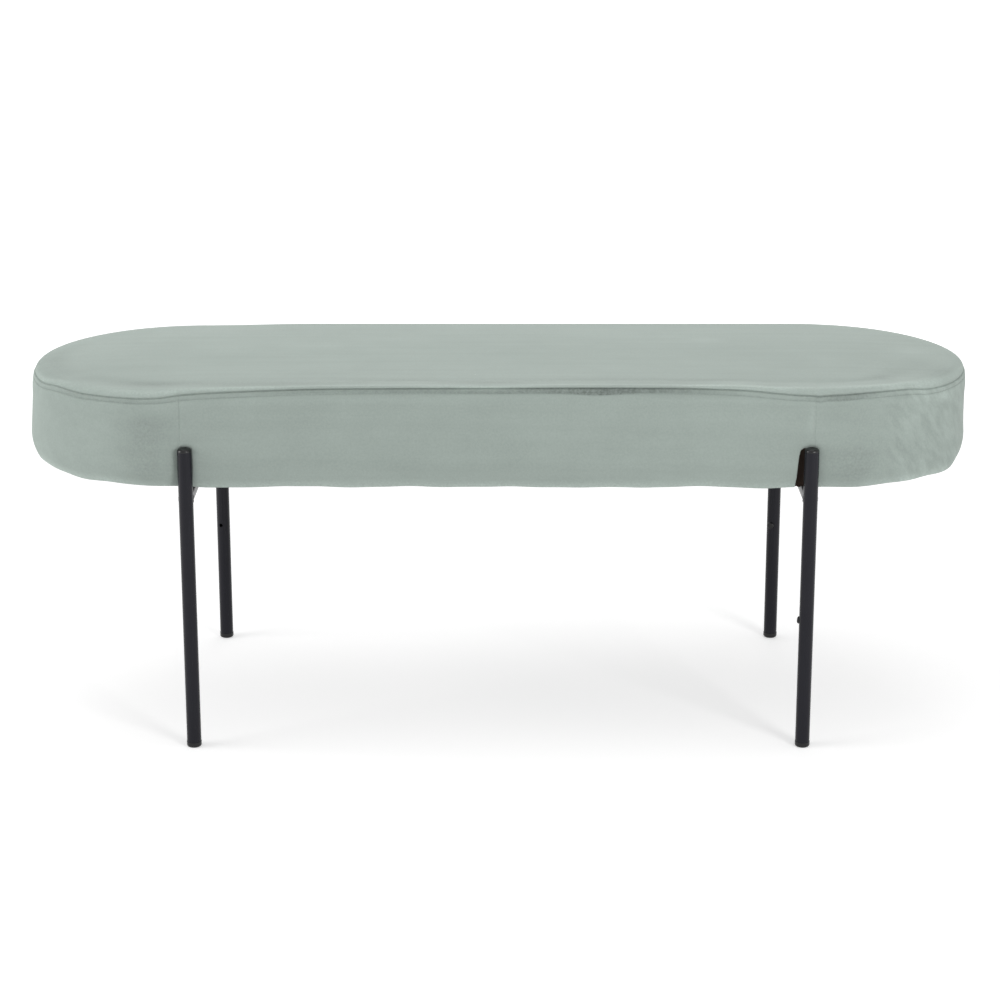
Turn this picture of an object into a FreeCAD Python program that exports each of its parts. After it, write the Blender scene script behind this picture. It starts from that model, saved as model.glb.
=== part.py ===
"""Upholstered bench: a pill-shaped padded seat carried by two welded frames of round tube.

Millimetres. X runs along the seat, Y from front to rear and Z up. The origin is on the floor, under
the middle of the seat. Every piece is one solid, or one group of like fasteners, in its own file.
"""
import FreeCAD, Part
import math
import os

# Seat, outside the cover
seat_length = 1200.0
seat_depth = 410.0
underside_height = 336.0      # floor to the dust cover
seat_thickness = 124.0        # dust cover to the highest line of the top
crown_rise = 4.7              # middle of the top above its rim
rim_radius = 18.4             # rounding from the band into the top
band_lean = 3.0               # the band's upper edge is this much inside its widest line
draw_in = 7.0                 # the band's lower edge is pulled under by this much
draw_in_height = 29.0         # height over which it is pulled under
seam_below_top = 13.0         # seam of top panel and band, below the highest line

# Cloth and padding
cover_thickness = 1.2
hem_width = 30.0
dust_cover_thickness = 0.8
dust_cover_inset = 12.0       # from the fold of the cover to the dust cover's edge
wadding_thickness = 6.0
side_foam_thickness = 13.0
cloth_gap = 0.3               # left free round curved cloth and foam

# Wooden frame inside the seat
base_board_thickness = 15.0
frame_rail_height = 40.0
frame_rail_width = 18.0
deck_board_thickness = 9.0
batten_width = 30.0
batten_names = ("left", "middle", "right")    # spread evenly along the straight run

# Wood screws, through both boards into the frame rails
screw_diameter = 3.5
screw_head_diameter = 7.0
screw_head_height = 2.6
screw_length = 30.0
screw_spacing = 160.0
screw_end_stations = 3        # round each end
fastener_gap = 0.1            # between a fastener and its hole

# Staples that hold the dust cover and the hem to the base board
staple_crown = 10.0
staple_wire_width = 1.0
staple_wire_thickness = 0.6
staple_leg = 8.0
staple_spacing = 60.0
staple_inset = 6.0            # from the hem's inner edge

# Legs and cross rails
tube_diameter = 18.0
tube_wall = 1.5
leg_lap = 52.0                # how far a leg reaches up the seat's face
leg_press = 6.5               # how deep a leg is pressed into the padding
leg_seam_distance = 3.5       # from a leg's side to the band's vertical seam
weld_gap = 0.1                # fit-up between a cross rail's saddle and the leg
leg_hole_diameter = 5.0
leg_hole_height = 166.0

# Plugs of the legs: a stem pushed into the tube and a head outside it
stem_length = 14.0
stem_gap = 0.1
cap_rounding = 3.5
cap_skirt = 0.6               # straight part of the cap's head, below its rounding
foot_rounding = 3.0
foot_skirt = 4.0
foot_flare = 0.4              # the foot is this much wider than the tube, all round
hole_plug_head_diameter = 9.5
hole_plug_head_height = 2.2
hole_plug_rounding = 1.3
hole_plug_reach = 2.5         # how far a hole plug's stem stands into the bore

# Mounting plates between the cross rails and the seat, and what fastens them
plate_thickness = 5.0
plate_width = 36.0            # along the cross rail
plate_end_distance = 10.0     # from a bolt's axis to the plate's end
plate_leg_distance = 97.5     # from a leg's axis to the middle of its plate
bolt_diameter = 8.0
bolt_hole_gap = 0.5
bolt_head_diameter = 14.0
bolt_head_height = 4.4
bolt_socket_width = 5.0
bolt_socket_depth = 2.6
bolt_projection = 1.1         # past the tee nut
washer_diameter = 16.0
washer_thickness = 1.6
washer_rail_gap = 5.0         # from a washer's edge to the cross rail's side
tee_nut_barrel_diameter = 10.0
tee_nut_flange_diameter = 22.0
tee_nut_flange_thickness = 1.5
tee_nut_setback = 4.0         # from the barrel's end to the board's lower face
thread_gap = 0.05

# Direction that each leg's hole faces: degrees from the front, turning to the left
hole_turn = {
    "front_left": 180.0,
    "front_right": 117.0,
    "rear_left": 18.5,
    "rear_right": 31.0,
}
open_hole = "rear_left"       # this leg's plug is missing

# Worked out: heights
hem_height = underside_height + dust_cover_thickness
board_height = hem_height + cover_thickness
frame_height = board_height + base_board_thickness
deck_height = frame_height + frame_rail_height
padding_height = deck_height + deck_board_thickness
top_height = underside_height + seat_thickness
seam_height = top_height - seam_below_top
leg_height = underside_height + leg_lap
plate_top = board_height - dust_cover_thickness
plate_bottom = plate_top - plate_thickness

# Worked out: plan
seat_radius = seat_depth / 2
half_run = seat_length / 2 - seat_radius
hem_radius = seat_radius - draw_in - hem_width
frame_radius = seat_radius - cover_thickness - side_foam_thickness - 2 * cloth_gap
tube_radius = tube_diameter / 2
bore_radius = tube_radius - tube_wall
leg_x = half_run - leg_seam_distance - tube_radius
leg_y = seat_radius - leg_press + tube_radius
plate_y = leg_y - plate_leg_distance
bolt_offset = tube_radius + washer_rail_gap + washer_diameter / 2
rail_height = plate_bottom - tube_radius

parts = {}


def at(x, y, z):
    return FreeCAD.Vector(x, y, z)


def upright(radius, low, high, x=0.0, y=0.0):
    """Cylinder that stands between two heights."""
    return Part.makeCylinder(radius, high - low, at(x, y, low))


def block(x_low, x_high, y_low, y_high, z_low, z_high):
    return Part.makeBox(x_high - x_low, y_high - y_low, z_high - z_low, at(x_low, y_low, z_low))


def pill(radius, low, high):
    """Pill-shaped plate: two half circles of this radius, joined by the seat's straight run."""
    front_left = at(-half_run, -radius, low)
    front_right = at(half_run, -radius, low)
    rear_right = at(half_run, radius, low)
    rear_left = at(-half_run, radius, low)
    right_end = Part.Arc(front_right, at(half_run + radius, 0, low), rear_right).toShape()
    left_end = Part.Arc(rear_left, at(-half_run - radius, 0, low), front_left).toShape()
    front = Part.makeLine(front_left, front_right)
    rear = Part.makeLine(rear_right, rear_left)
    outline = Part.Wire([front, right_end, rear, left_end])
    return Part.Face(outline).extrude(at(0, 0, high - low))


def half_section(inset, floor):
    """One side of the seat's cross section, drawn in by inset, from the floor up to the crown.

    The lower arc runs tangent into the band, and the band leans in to the rim arc. Each piece is
    a list of (distance from the middle line, height) points: two for a line, three for an arc.
    """
    widest = hem_height + draw_in_height
    rim_edge = seat_radius - band_lean
    rim_height = top_height - crown_rise - rim_radius
    rim_top = (rim_edge - rim_radius, rim_height + rim_radius - inset)
    rim_middle = (rim_radius - inset) * math.sqrt(0.5)
    rim_start = (rim_edge - inset, rim_height)
    pieces = []
    if floor < widest:
        fold_radius = (draw_in ** 2 + draw_in_height ** 2) / (2 * draw_in)
        centre = seat_radius - fold_radius
        turn = math.asin((widest - floor) / (fold_radius - inset))
        points = []
        for part_turn in (turn, turn / 2, 0.0):
            reach = centre + (fold_radius - inset) * math.cos(part_turn)
            points.append((reach, widest - (fold_radius - inset) * math.sin(part_turn)))
        pieces.append(points)
        band_start = points[-1]
    else:
        share = (floor - widest) / (rim_height - widest)
        band_start = (seat_radius - band_lean * share - inset, floor)
    pieces.append([band_start, rim_start])
    rim_bend = (rim_edge - rim_radius + rim_middle, rim_height + rim_middle)
    pieces.append([rim_start, rim_bend, rim_top])
    return pieces


def crown_height(radius, inset):
    """Height of the crown's arc at a distance from its middle line."""
    span = seat_radius - band_lean - rim_radius
    crown_radius = (span ** 2 + crown_rise ** 2) / (2 * crown_rise)
    return top_height - inset - crown_radius + math.sqrt(crown_radius ** 2 - radius ** 2)


def curve(points):
    """Line through two points, or arc through three."""
    if len(points) == 2:
        return Part.makeLine(*points)
    return Part.Arc(*points).toShape()


def side_edges(pieces, side):
    """Edges of half_section in the YZ plane, on the rear side (1) or the front side (-1)."""
    return [curve([at(0, side * y, z) for y, z in points]) for points in pieces]


def seat_solid(inset, floor):
    """The seat's outer shape, drawn in by inset on all sides and cut level at floor."""
    pieces = half_section(inset, floor)
    foot = pieces[0][0][0]
    rim, rim_height = pieces[-1][-1]
    peak = at(0, 0, top_height - inset)
    rear = side_edges(pieces, 1)
    front = side_edges(pieces, -1)
    front.reverse()
    floor_line = curve([at(0, -foot, floor), at(0, foot, floor)])
    crown = curve([at(0, rim, rim_height), peak, at(0, -rim, rim_height)])
    section = Part.Face(Part.Wire([floor_line] + rear + [crown] + front))
    section.translate(at(-half_run, 0, 0))
    straight = section.extrude(at(2 * half_run, 0, 0))

    half_floor = curve([at(0, 0, floor), at(0, foot, floor)])
    half_way = at(0, rim / 2, crown_height(rim / 2, inset))
    half_crown = curve([at(0, rim, rim_height), half_way, peak])
    middle_line = curve([peak, at(0, 0, floor)])
    half = Part.Face(Part.Wire([half_floor] + rear + [half_crown, middle_line]))
    ends = []
    for side in (-1, 1):
        axis_foot = at(side * half_run, 0, 0)
        end = half.copy()
        end.translate(axis_foot)
        ends.append(end.revolve(axis_foot, at(0, 0, -side), 180))
    return straight.fuse(ends).removeSplitter()


def run_positions(spacing):
    """Places spread evenly along the straight run, about this far apart."""
    count = max(2, round(2 * half_run / spacing))
    pitch = 2 * half_run / count
    return [-half_run + pitch * (i + 0.5) for i in range(count)]


def outline_stations(radius, spacing, end_count):
    """Places round a pill of this radius, each with its x, y and the direction of the outline."""
    stations = []
    for side in (-1, 1):
        for x in run_positions(spacing):
            stations.append((x, side * radius, 0.0))
    for end in (-1, 1):
        for i in range(end_count):
            turn = -90 + 180 * (i + 0.5) / end_count
            x = end * (half_run + radius * math.cos(math.radians(turn)))
            y = end * radius * math.sin(math.radians(turn))
            stations.append((x, y, turn + 90))
    return stations


def leg_places():
    """Name and plan position of each leg."""
    for row, y in (("front", -leg_y), ("rear", leg_y)):
        for side, x in (("left", -leg_x), ("right", leg_x)):
            yield row + "_" + side, x, y


def bolt_places():
    """Plan position of every bolt: two to a plate, one on each side of the cross rail."""
    for x in (-leg_x, leg_x):
        for y in (-plate_y, plate_y):
            for side in (-1, 1):
                yield x + side * bolt_offset, y


# Padding and cover

def pocket_voids(gap):
    """Room round the four legs, where they press into the padding."""
    reach = tube_radius + gap
    return [upright(reach, 0, leg_height + gap, x, y) for name, x, y in leg_places()]


def staple(extra):
    """One staple at the origin, legs up, its crown below the dust cover; extra widens it."""
    width = staple_wire_width / 2 + extra
    half = staple_crown / 2
    wire = staple_wire_thickness
    crown = block(-half, half, -width, width, underside_height - wire, underside_height)
    legs = []
    for inner in (-half, half - wire):
        tip = underside_height + staple_leg + extra
        low = underside_height - wire
        legs.append(block(inner - extra, inner + wire + extra, -width, width, low, tip))
    return crown.fuse(legs).removeSplitter()


def staples(extra):
    group = []
    round_end = math.pi * (hem_radius + staple_inset) / staple_spacing
    for x, y, turn in outline_stations(hem_radius + staple_inset, staple_spacing, round(round_end)):
        one = staple(extra)
        one.rotate(at(0, 0, 0), at(0, 0, 1), turn)
        one.translate(at(x, y, 0))
        group.append(one)
    return group


def make_cover(staple_holes):
    """Top panel and four band strips, one cloth thick, with leg pockets and the turned hem."""
    outer = seat_solid(0.0, hem_height)
    inner = seat_solid(cover_thickness, board_height)
    cloth = outer.cut([inner, pill(hem_radius, hem_height, board_height)])
    walls = [wall.common(outer) for wall in pocket_voids(cloth_gap + cover_thickness)]
    cloth = cloth.fuse(walls).cut(pocket_voids(cloth_gap) + staple_holes).removeSplitter()
    far = seat_length
    parts["cover_top_panel"] = cloth.common(block(-far, far, -far, far, seam_height, 2 * top_height))
    below = (0, seam_height)
    parts["cover_band_front"] = cloth.common(block(-half_run, half_run, -far, 0, *below))
    parts["cover_band_rear"] = cloth.common(block(-half_run, half_run, 0, far, *below))
    parts["cover_band_left_end"] = cloth.common(block(-far, -half_run, -far, far, *below))
    parts["cover_band_right_end"] = cloth.common(block(half_run, far, -far, far, *below))


def make_padding():
    """Seat foam with wadding over it, and the foam behind the band."""
    cover_face = cover_thickness + cloth_gap
    wadding_face = cover_face + wadding_thickness + cloth_gap
    room = pocket_voids(2 * cloth_gap + cover_thickness)
    foam = seat_solid(wadding_face, padding_height)
    wadding_core = seat_solid(wadding_face - cloth_gap, padding_height)
    parts["seat_foam"] = foam.cut(room)
    parts["fibre_wadding"] = seat_solid(cover_face, padding_height).cut([wadding_core] + room)
    ring = seat_solid(cover_face, board_height)
    above = block(-seat_length, seat_length, -seat_depth, seat_depth, padding_height, 2 * top_height)
    core = pill(frame_radius + cloth_gap, board_height, padding_height)
    parts["side_foam"] = ring.cut([above, core] + room)


def make_dust_cover(staple_holes):
    """Black cloth under the seat: its edge lies on the hem, its middle on the base board."""
    edge_radius = seat_radius - draw_in - dust_cover_inset
    step_radius = hem_radius - cloth_gap
    sheet = pill(edge_radius, underside_height, hem_height)
    dish = pill(step_radius, underside_height, board_height)
    hollow = pill(step_radius - dust_cover_thickness, underside_height, plate_top)
    holes = [upright(bolt_diameter / 2 + bolt_hole_gap, 0, deck_height, x, y) for x, y in bolt_places()]
    parts["dust_cover"] = sheet.fuse(dish).cut([hollow] + holes + staple_holes).removeSplitter()


# Wooden frame

def screw(extra):
    """One countersunk wood screw at the origin, point up; extra widens it for its hole."""
    head_radius = screw_head_diameter / 2 + extra
    shank_radius = screw_diameter / 2 + extra
    head = Part.makeCone(head_radius, shank_radius, screw_head_height)
    point_height = screw_diameter
    shank = Part.makeCylinder(shank_radius, screw_length - point_height + extra)
    point = Part.makeCone(shank_radius, shank_radius / 4, point_height, at(0, 0, shank.BoundBox.ZMax))
    return head.fuse([shank, point]).removeSplitter()


def screws(extra):
    """Screws up through the base board and, half a step further on, down through the deck."""
    middle_radius = frame_radius - frame_rail_width / 2
    stations = outline_stations(middle_radius, screw_spacing, screw_end_stations)
    step = screw_spacing / 4
    group = []
    for x, y, turn in stations:
        along = math.radians(turn)
        up = screw(extra)
        up.translate(at(x, y, board_height))
        down = screw(extra)
        down.rotate(at(0, 0, 0), at(1, 0, 0), 180)
        down.translate(at(x, y, padding_height))
        shift = at(step * math.cos(along), step * math.sin(along), 0)
        if turn == 0.0:
            down.translate(shift)
        else:
            end_middle = at(math.copysign(half_run, x), 0, 0)
            down.rotate(end_middle, at(0, 0, 1), math.degrees(step / middle_radius))
        group.extend([up, down])
    return group


def make_wood(staple_holes):
    """Base board, rails, bent end rails, battens and deck board, drilled for their fasteners."""
    holes = screws(fastener_gap)
    barrel = tee_nut_barrel_diameter / 2 + fastener_gap
    bolt_holes = [upright(barrel, 0, deck_height, x, y) for x, y in bolt_places()]
    base = pill(frame_radius, board_height, frame_height)
    parts["base_board"] = base.cut(holes + bolt_holes + staple_holes)
    parts["deck_board"] = pill(frame_radius, deck_height, padding_height).cut(holes)

    inside = frame_radius - frame_rail_width
    level = (frame_height, deck_height)
    rails = {
        "front_frame_rail": block(-half_run, half_run, -frame_radius, -inside, *level),
        "rear_frame_rail": block(-half_run, half_run, inside, frame_radius, *level),
    }
    ring = pill(frame_radius, *level).cut(pill(inside, *level))
    far = seat_length
    rails["left_end_rail"] = ring.common(block(-far, -half_run, -far, far, *level))
    rails["right_end_rail"] = ring.common(block(half_run, far, -far, far, *level))
    for name, rail in rails.items():
        parts[name] = rail.cut(holes)

    half = batten_width / 2
    for i, name in enumerate(batten_names):
        x = 2 * half_run * ((i + 1) / (len(batten_names) + 1) - 0.5)
        parts[name + "_batten"] = block(x - half, x + half, -inside, inside, *level)
    parts["frame_screws"] = Part.makeCompound(screws(0.0))


# Legs and their frames

def outward(name):
    """Unit direction that a leg's hole faces."""
    turn = math.radians(hole_turn[name])
    return at(-math.sin(turn), -math.cos(turn), 0)


def radial(radius, near, far, name, x, y):
    """Cylinder across a leg's wall, from one distance off the leg's axis to another."""
    direction = outward(name)
    start = at(x, y, leg_hole_height) + direction * near
    return Part.makeCylinder(radius, far - near, start, direction)


def round_edge(solid, radius, place):
    """Fillet of the circular edges that a test picks by their centre."""
    chosen = [e for e in solid.Edges if e.Closed and place(e.CenterOfMass)]
    return solid.makeFillet(radius, chosen)


def make_leg(name, x, y):
    """Leg tube with its hole, the cap in its top and the foot in its bottom."""
    foot_top = foot_rounding + foot_skirt
    cap_bottom = leg_height - cap_rounding - cap_skirt
    tube = upright(tube_radius, foot_top, cap_bottom, x, y)
    bore = upright(bore_radius, foot_top, cap_bottom, x, y)
    hole = radial(leg_hole_diameter / 2, 0, 2 * tube_radius, name, x, y)
    parts[name + "_leg"] = tube.cut([bore, hole])

    stem_radius = bore_radius - stem_gap
    cap = upright(tube_radius, cap_bottom, leg_height, x, y)
    cap = round_edge(cap, cap_rounding, lambda c: c.z > leg_height - 0.01)
    parts[name + "_cap"] = cap.fuse(upright(stem_radius, cap_bottom - stem_length, cap_bottom, x, y))
    foot = upright(tube_radius + foot_flare, 0, foot_top, x, y)
    foot = round_edge(foot, foot_rounding, lambda c: c.z < 0.01)
    parts[name + "_foot"] = foot.fuse(upright(stem_radius, foot_top, foot_top + stem_length, x, y))


def hole_plug(name, x, y):
    """Push-in plug of a leg's hole: a low button that fits the tube, on a short stem."""
    face = tube_radius + hole_plug_head_height
    direction = outward(name)
    head = radial(hole_plug_head_diameter / 2, bore_radius, face, name, x, y)
    outer_face = face - 0.01
    centre = at(x, y, leg_hole_height)
    head = round_edge(head, hole_plug_rounding, lambda c: (c - centre).dot(direction) > outer_face)
    head = head.cut(upright(tube_radius + fastener_gap, 0, leg_height, x, y))
    stem_radius = leg_hole_diameter / 2 - fastener_gap
    stem = radial(stem_radius, bore_radius - hole_plug_reach, tube_radius + fastener_gap * 2, name, x, y)
    return head.fuse(stem).removeSplitter()


def make_legs():
    plugs = []
    for name, x, y in leg_places():
        make_leg(name, x, y)
        if name != open_hole:
            plugs.append(hole_plug(name, x, y))
    parts["leg_hole_plugs"] = Part.makeCompound(plugs)


def make_cross_rail(name, x):
    """Tube from the front leg to the rear leg, its ends cut to saddles that fit the legs."""
    start = at(x, -leg_y, rail_height)
    tube = Part.makeCylinder(tube_radius, 2 * leg_y, start, at(0, 1, 0))
    bore = Part.makeCylinder(bore_radius, 2 * leg_y, start, at(0, 1, 0))
    saddles = [upright(tube_radius + weld_gap, 0, leg_height, x, y) for y in (-leg_y, leg_y)]
    parts[name + "_cross_rail"] = tube.cut([bore] + saddles)


def make_plate(name, x, y):
    """Flat plate on top of a cross rail, with a bolt hole on each side of the rail."""
    half_length = bolt_offset + plate_end_distance
    half_width = plate_width / 2
    plate = block(x - half_length, x + half_length, y - half_width, y + half_width, plate_bottom, plate_top)
    hole_radius = bolt_diameter / 2 + bolt_hole_gap
    holes = [upright(hole_radius, 0, deck_height, x + side * bolt_offset, y) for side in (-1, 1)]
    parts[name + "_mounting_plate"] = plate.cut(holes)


def hexagon(width, low, high, x, y):
    """Six-sided prism, width across its flats."""
    corner = width / math.sqrt(3)
    points = []
    for i in range(7):
        turn = math.radians(60 * i)
        points.append(at(x + corner * math.cos(turn), y + corner * math.sin(turn), low))
    return Part.Face(Part.makePolygon(points)).extrude(at(0, 0, high - low))


def make_fasteners():
    """Bolt, washer and tee nut at each of the plates' holes."""
    washer_bottom = plate_bottom - washer_thickness
    head_bottom = washer_bottom - bolt_head_height
    bolt_tip = frame_height + tee_nut_flange_thickness + bolt_projection
    bolts = []
    washers = []
    nuts = []
    for x, y in bolt_places():
        head = upright(bolt_head_diameter / 2, head_bottom, washer_bottom, x, y)
        head = round_edge(head, bolt_head_height / 2, lambda c: c.z < head_bottom + 0.01)
        shank = upright(bolt_diameter / 2, washer_bottom, bolt_tip, x, y)
        socket = hexagon(bolt_socket_width, head_bottom, head_bottom + bolt_socket_depth, x, y)
        bolts.append(head.fuse(shank).cut(socket))

        ring = upright(washer_diameter / 2, washer_bottom, plate_bottom, x, y)
        washers.append(ring.cut(upright(bolt_diameter / 2 + bolt_hole_gap, 0, deck_height, x, y)))

        barrel_bottom = board_height + tee_nut_setback
        flange_top = frame_height + tee_nut_flange_thickness
        barrel = upright(tee_nut_barrel_diameter / 2, barrel_bottom, frame_height, x, y)
        flange = upright(tee_nut_flange_diameter / 2, frame_height, flange_top, x, y)
        thread = upright(bolt_diameter / 2 + thread_gap, 0, deck_height, x, y)
        nuts.append(barrel.fuse(flange).cut(thread))
    parts["plate_bolts"] = Part.makeCompound(bolts)
    parts["plate_washers"] = Part.makeCompound(washers)
    parts["tee_nuts"] = Part.makeCompound(nuts)


def main():
    staple_holes = staples(fastener_gap)
    make_cover(staple_holes)
    make_padding()
    make_dust_cover(staple_holes)
    make_wood(staple_holes)
    parts["staples"] = Part.makeCompound(staples(0.0))
    make_legs()
    for side, x in (("left", -leg_x), ("right", leg_x)):
        make_cross_rail(side, x)
        make_plate("front_" + side, x, -plate_y)
        make_plate("rear_" + side, x, plate_y)
    make_fasteners()

    os.makedirs("parts", exist_ok=True)
    for name, shape in parts.items():
        shape.exportStep(os.path.join("parts", name + ".step"))
        print(name, "solids", len(shape.Solids), "valid", shape.isValid(), "mm3", round(shape.Volume))


main()
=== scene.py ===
"""Looks of the upholstered bench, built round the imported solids.

Shapes are worked out in millimetres, in the solids' own frame, and go into the meshes in metres.
A place on the cover is given by two lengths along the cloth. s runs round the seat: 0 where the
front's straight run starts at the left, and negative round the left end. t runs up the section:
0 at the widest line, and negative below it.
"""
import functools
import math
import bmesh
import bpy
import numpy as np
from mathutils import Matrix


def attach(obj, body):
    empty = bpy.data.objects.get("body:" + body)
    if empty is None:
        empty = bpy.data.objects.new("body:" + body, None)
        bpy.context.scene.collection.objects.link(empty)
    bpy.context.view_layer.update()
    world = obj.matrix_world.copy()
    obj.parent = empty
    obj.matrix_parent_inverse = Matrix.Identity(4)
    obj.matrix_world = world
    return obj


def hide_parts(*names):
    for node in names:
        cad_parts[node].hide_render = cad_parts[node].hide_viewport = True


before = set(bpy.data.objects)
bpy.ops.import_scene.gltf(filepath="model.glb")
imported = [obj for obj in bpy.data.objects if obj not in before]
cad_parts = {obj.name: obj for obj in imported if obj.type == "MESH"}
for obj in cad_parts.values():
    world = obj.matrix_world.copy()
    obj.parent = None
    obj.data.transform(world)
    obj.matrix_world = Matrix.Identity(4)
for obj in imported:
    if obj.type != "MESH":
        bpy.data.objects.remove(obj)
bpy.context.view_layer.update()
scene = bpy.context.scene

# Camera, at the photograph's angle
camera_data = bpy.data.cameras.new("camera")
camera_data.sensor_width = 36.0
camera_data.lens = 95.59
camera = bpy.data.objects.new("camera", camera_data)
camera.location = (0.0022, -3.3274, 1.2413)
camera.rotation_euler = (math.radians(73.591), 0.0, 0.0)  # up from straight down
scene.collection.objects.link(camera)
scene.camera = camera
scene.view_settings.view_transform = "Standard"

# Seat, the same sizes as the solids
half_run = 395.0  # half of the straight run
seat_radius = 205.0
end_turn = math.pi * seat_radius  # cloth round one end, at the widest line
widest_height = 365.8
hem_height = 336.8
low_radius = 63.57  # arc that draws the band under
fold_radius = 3.0
rim_edge = 202.0
rim_radius = 18.4
rim_height = 436.9
top_height = 460.0
cloth_thickness = 1.2
board_height = 338.0
board_radius = 190.2
deck_top = 402.0
draw_in = 7.0  # how far the band is drawn under, up to its fold
hem_width = 30.0
dust_cover_inset = 12.0  # from the fold to the dust cover's edge
dust_cover_radius = seat_radius - draw_in - dust_cover_inset

# Legs, the same sizes as the solids
leg_x = 382.5
leg_y = 207.5
leg_top = 388.0
leg_corners = [(side, row) for side in (-1, 1) for row in (-1, 1)]
tube_radius = 9.0
rail_height = 323.2
cap_rounding = 3.5
plate_width = 36.0
plate_y = 110.0

# Sewing
seam_t = 80.0  # where the top panel meets the band, round the ends
front_ride = 16.0  # how far up the cloth the front's seam rides, halfway along
stitch_distance = 6.2  # from the seam down to the topstitch
stitch_pitch = 4.0
half_stitch = 0.46  # share of the pitch
stitch_arch = 0.45
stitch_sinking = 0.25  # how far a stitch's ends lie in the cloth
thread_radius = 0.35
allowance_depths = (1.5, 4.0)  # rows of the hidden seam allowance
allowance_gap = 0.05  # from the seam to either allowance

# Shapes as functions

def step(x, start, end):
    """0 before start, 1 after end, and 3u^2 - 2u^3 of the share u between them."""
    u = np.clip((x - start) / (end - start), 0.0, 1.0)
    return u * u * (3.0 - 2.0 * u)


def plateau(x, start, full, fading, end):
    """Rises as a step from start to full, and falls as one from fading to end."""
    return step(x, start, full) * (1.0 - step(x, fading, end))


def bump(x, middle, width):
    """Bell curve: e to the power of minus the square of the distance from middle over width."""
    return np.exp(-((x - middle) / width) ** 2)


def through(knots, values, x):
    """Smooth line through values at knots: a cubic between two knots, sloped as its neighbours."""
    knots = np.asarray(knots, float)
    values = np.asarray(values, float)
    slopes = np.gradient(values, knots)
    x = np.clip(x, knots[0], knots[-1])
    i = np.clip(np.searchsorted(knots, x, side="right") - 1, 0, len(knots) - 2)
    width = knots[i + 1] - knots[i]
    u = (x - knots[i]) / width
    near = values[i] * (1 + 2 * u) * (1 - u) ** 2 + slopes[i] * width * u * (1 - u) ** 2
    far = values[i + 1] * u * u * (3 - 2 * u) + slopes[i + 1] * width * u * u * (u - 1)
    return near + far


def spread(*stops):
    """Places from the first stop to the last: each stop is (place, spacing up to the next stop)."""
    places = [np.array([stops[0][0]], float)]
    for (start, spacing), (end, _) in zip(stops, stops[1:]):
        count = max(1, round((end - start) / spacing))
        places.append(np.linspace(start, end, count + 1)[1:])
    return np.concatenate(places)


def unit(vectors):
    """The same directions with a length of 1."""
    return vectors / np.linalg.norm(vectors, axis=-1, keepdims=True)


# Places round the seat

front_left = 0.0
front_right = 2 * half_run
rear_right = front_right + end_turn
rear_left = rear_right + 2 * half_run
start_s = -end_turn  # the same place as rear_left
around_length = rear_left - start_s
leg_s = half_run - leg_x  # how far a leg stands from its end of the straight run


def waves(s, counts, seed):
    """Mean of sines that fit these many times round the seat, each with its own phase."""
    phases = np.random.default_rng(seed).uniform(0.0, 2.0 * math.pi, len(counts))
    turns = [2.0 * math.pi * s / (around_length / count) for count in counts]
    return sum(np.sin(turn + phase) for turn, phase in zip(turns, phases)) / len(counts)


def outline(s):
    """Middle line's x, and the outward direction, of the place s round the seat.

    On the straight runs the middle line's x keeps up with s. Round an end it stays at the end's
    centre and the direction turns by s over the seat's radius.
    """
    right_turn = np.clip((s - front_right) / seat_radius, 0.0, math.pi)
    left_turn = np.clip((s - start_s) / seat_radius, 0.0, math.pi)
    turn = np.where(s < front_left, left_turn + math.pi, right_turn)
    along_front = np.clip(s, front_left, front_right) - half_run
    along_rear = half_run - np.clip(s - rear_right, 0.0, 2 * half_run)
    middle_x = np.where(s < rear_right, along_front, along_rear)
    return middle_x, np.sin(turn), -np.cos(turn)


def placed(s, reach, height):
    """x, y, z of the place s round the seat, this far out from the middle line and this high."""
    middle_x, east, north = outline(s)
    return np.stack(np.broadcast_arrays(middle_x + reach * east, reach * north, height), axis=-1)


def all_round(end, run):
    """Places round the whole seat, from those along a round end and those along a straight run."""
    return np.concatenate((start_s + end[:-1], run[:-1], front_right + end[:-1], rear_right + run[:-1]))


# How far the front's seam has ridden up on to the seat's shoulder, by s: 0 at the ends, 1 halfway, and
# below 0 where it is drawn down at the left end
ride_up = (
    (-420, 0), (-310, -0.12), (-280, -0.16), (-250, -0.18), (-230, -0.21), (-212, -0.14), (-190, 0),
    (-172, 0.04), (-150, 0.01), (-130, -0.01), (-105, 0.03), (-80, 0.06), (-40, 0.11), (-18, 0.2),
    (10, 0.44), (35, 0.56), (74, 0.69), (113, 0.8), (170, 0.93), (260, 0.99), (400, 1.02), (560, 1.03),
    (640, 0.97), (670, 0.9), (706, 0.76), (732, 0.58), (757, 0.45), (785, 0.44), (810, 0.44), (836, 0.49),
    (864, 0.51), (893, 0.48), (910, 0.42), (938, 0.17), (966, 0.06), (1000, 0),
)
seam_kink = 785.0  # where the seam is pulled down to a point, above the right leg
# The rear's seam sits lower, because the cover is pulled to the rear
rear_sag = -6.0
# The left end is a little lower than the right one
left_sag = -2.2
# The ends of the cover lean to the right by this share of the height above its middle
cover_lean = 0.034
cover_middle = 405.0


def seam_ride(s):
    """Share of the front's raised seam at s, from the places above, with a sharp dip at the kink."""
    return through(*zip(*ride_up), s) - 0.13 * np.exp(-np.abs(s - seam_kink) / 10.0)


def rear_share(s):
    """1 along the rear, 0 along the front, and between them round the ends."""
    rear = plateau(s, rear_right - 120, rear_right + 80, rear_left - 80, rear_left + 120)
    return rear + 1 - step(s, start_s - 80, start_s + 120)


def seam_line(s):
    """t of the seam at s."""
    return seam_t + front_ride * seam_ride(s) + rear_sag * rear_share(s)


def row_t(row, s):
    """t of a row of the cover: rows near the seam move up and down with it, far rows stay."""
    return row + (seam_line(s) - seam_t) * plateau(row, 15.0, 68.0, 92.0, 230.0)


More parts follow.
